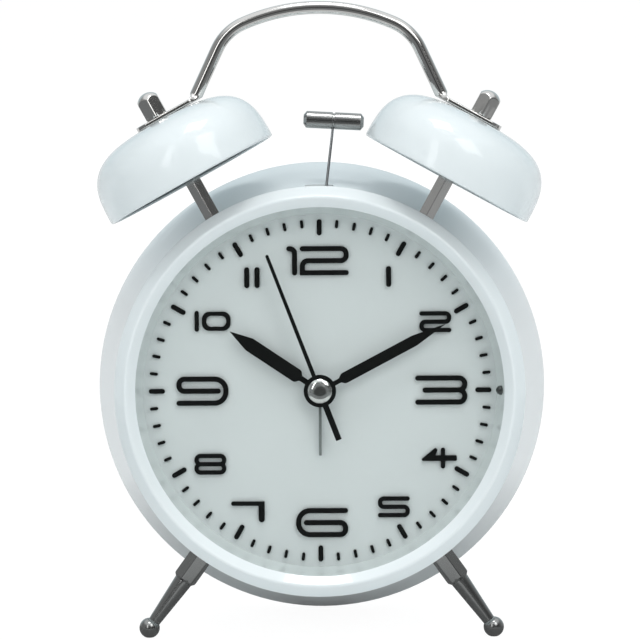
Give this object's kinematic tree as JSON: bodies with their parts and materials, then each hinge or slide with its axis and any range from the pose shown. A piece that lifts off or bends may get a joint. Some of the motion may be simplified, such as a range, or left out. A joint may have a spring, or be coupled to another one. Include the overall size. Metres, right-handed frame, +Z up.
{
  "type": "twin-bell alarm clock",
  "caption": "Round analog alarm clock with a flared drum case, a bell on each shoulder, a swinging hammer, a carry handle and legs with ball feet.",
  "frame": {"origin": "on the floor, under the middle of the clock's outline seen from above", "axes": "+Z up, -Y towards the person who reads the dial, +X to that person's right"},
  "size_m": [0.118, 0.0606, 0.1608],
  "materials": {
    "white_paint": "glossy",
    "clear_lens": "polished",
    "white_ring": "glossy",
    "pale_dial": "satin",
    "black_marks": "satin",
    "smoked_light": "glossy",
    "black_hands": "satin",
    "grey_hand": "satin",
    "polished_nickel": "polished",
    "plain_steel": "plain",
    "brass": "plain",
    "pale_wheels": "satin",
    "dark_shell": "satin",
    "rear_white": "satin",
    "control_grey": "satin",
    "copper_coil": "enamelled",
    "green_board": "satin",
    "cell_jacket": "satin"
  },
  "bodies": {
    "case": {"case_drum": "white_paint", "front_bezel": "white_paint", "crystal_lens": "clear_lens", "dial_spacer_ring": "white_ring", "dial_light": "smoked_light", "dial_plate": "pale_dial", "hour_markers": "black_marks", "minute_markers": "black_marks", "hour_numerals": "black_marks", "left_bell": "white_paint", "right_bell": "white_paint", "bell_posts": "polished_nickel", "post_lock_nuts": "plain_steel", "acorn_nuts": "polished_nickel", "carry_handle": "polished_nickel", "left_leg": "polished_nickel", "right_leg": "polished_nickel", "leg_lock_nuts": "plain_steel", "rear_cover": "rear_white", "cover_screws": "plain_steel", "battery_tray": "dark_shell", "battery_cells": "cell_jacket", "battery_contacts": "plain_steel", "movement_housing": "dark_shell", "dial_nut": "plain_steel", "train_plate": "brass", "movement_back": "dark_shell", "movement_screws": "plain_steel", "circuit_board": "green_board", "stepper_stator": "plain_steel", "stepper_coil": "copper_coil", "striker_bracket": "plain_steel", "hammer_pivot_pin": "plain_steel", "striker_motor": "plain_steel"},
    "hour": {"hour_hand": "black_hands", "hour_wheel": "pale_wheels"},
    "minute": {"minute_hand": "black_hands", "cannon_pinion": "pale_wheels"},
    "seconds": {"second_hand": "black_hands", "second_cap": "polished_nickel", "second_arbor": "pale_wheels"},
    "alarm": {"alarm_hand": "grey_hand", "alarm_wheel": "pale_wheels"},
    "intermediate": {"intermediate_wheel": "pale_wheels"},
    "third": {"third_wheel": "pale_wheels"},
    "centre": {"centre_wheel": "pale_wheels"},
    "fifth": {"fifth_wheel": "pale_wheels"},
    "rotor": {"stepper_rotor": "plain_steel"},
    "time_setting": {"time_knob": "control_grey", "time_setting_pinion": "pale_wheels"},
    "alarm_setting": {"alarm_knob": "control_grey", "alarm_setting_pinion": "pale_wheels"},
    "hammer": {"hammer_head": "polished_nickel", "hammer_wire": "plain_steel", "hammer_lever": "plain_steel"},
    "crank": {"striker_crank": "control_grey"},
    "switch": {"alarm_switch": "control_grey"},
    "button": {"light_button": "control_grey"},
    "door": {"battery_door": "rear_white"}
  },
  "joints": [
    {"name": "minute_turn", "type": "hinge", "parent": "case", "child": "minute", "pos_m": [0, -0.00934, 0.06259], "axis": [0, 0.9915, -0.1302], "continuous": true},
    {"name": "hour_turn", "type": "hinge", "parent": "case", "child": "hour", "pos_m": [0, -0.00934, 0.06259], "axis": [0, 0.9915, -0.1302], "continuous": true},
    {"name": "intermediate_turn", "type": "hinge", "parent": "case", "child": "intermediate", "pos_m": [0.01088, -0.00868, 0.06762], "axis": [0, 0.9915, -0.1302], "continuous": true},
    {"name": "time_knob_turn", "type": "hinge", "parent": "case", "child": "time_setting", "pos_m": [0.02269, -0.00895, 0.06555], "axis": [0, 0.9915, -0.1302], "continuous": true},
    {"name": "second_turn", "type": "hinge", "parent": "case", "child": "seconds", "pos_m": [0, -0.00934, 0.06259], "axis": [0, 0.9915, -0.1302], "continuous": true},
    {"name": "third_turn", "type": "hinge", "parent": "case", "child": "third", "pos_m": [-0.00526, -0.01032, 0.05513], "axis": [0, 0.9915, -0.1302], "continuous": true},
    {"name": "centre_turn", "type": "hinge", "parent": "case", "child": "centre", "pos_m": [0, -0.00934, 0.06259], "axis": [0, 0.9915, -0.1302], "continuous": true},
    {"name": "fifth_turn", "type": "hinge", "parent": "case", "child": "fifth", "pos_m": [0.0059, -0.01025, 0.05562], "axis": [0, 0.9915, -0.1302], "continuous": true},
    {"name": "rotor_turn", "type": "hinge", "parent": "case", "child": "rotor", "pos_m": [0.01058, -0.01061, 0.05294], "axis": [0, 0.9915, -0.1302], "continuous": true},
    {"name": "alarm_hand_turn", "type": "hinge", "parent": "case", "child": "alarm", "pos_m": [0, -0.00934, 0.06259], "axis": [0, 0.9915, -0.1302], "continuous": true},
    {"name": "alarm_knob_turn", "type": "hinge", "parent": "case", "child": "alarm_setting", "pos_m": [-0.01477, -0.009, 0.06517], "axis": [0, 0.9915, -0.1302], "continuous": true},
    {"name": "hammer_swing", "type": "hinge", "parent": "case", "child": "hammer", "pos_m": [0, -0.00465, 0.09828], "axis": [0, 0.9915, -0.1302], "range_deg": [-14.3, 1.5]},
    {"name": "crank_turn", "type": "hinge", "parent": "case", "child": "crank", "pos_m": [0, -0.00586, 0.08906], "axis": [0, 0.9915, -0.1302], "range_deg": [-143.5, 15.5]},
    {"name": "alarm_switch_slide", "type": "slide", "parent": "case", "child": "switch", "axis": [1, 0, 0], "range_m": [0, 0.004]},
    {"name": "light_button_press", "type": "slide", "parent": "case", "child": "button", "axis": [0, -0.9915, 0.1302], "range_m": [0, 0.0015], "stiffness_N_per_m": 200, "springref_m": -0.0005},
    {"name": "battery_door_pull", "type": "slide", "parent": "case", "child": "door", "axis": [0, 0.9915, -0.1302], "range_m": [0, 0.03]}
  ],
  "couplings": [
    {"joint": "hour_turn", "follows": "minute_turn", "ratio": 0.083333},
    {"joint": "intermediate_turn", "follows": "minute_turn", "ratio": -0.33333},
    {"joint": "time_knob_turn", "follows": "minute_turn", "ratio": 1},
    {"joint": "third_turn", "follows": "second_turn", "ratio": -0.13333},
    {"joint": "centre_turn", "follows": "second_turn", "ratio": 0.016667},
    {"joint": "fifth_turn", "follows": "second_turn", "ratio": -7.5},
    {"joint": "rotor_turn", "follows": "second_turn", "ratio": 30},
    {"joint": "alarm_knob_turn", "follows": "alarm_hand_turn", "ratio": -2},
    {"joint": "crank_turn", "follows": "hammer_swing", "ratio": 10}
  ]
}
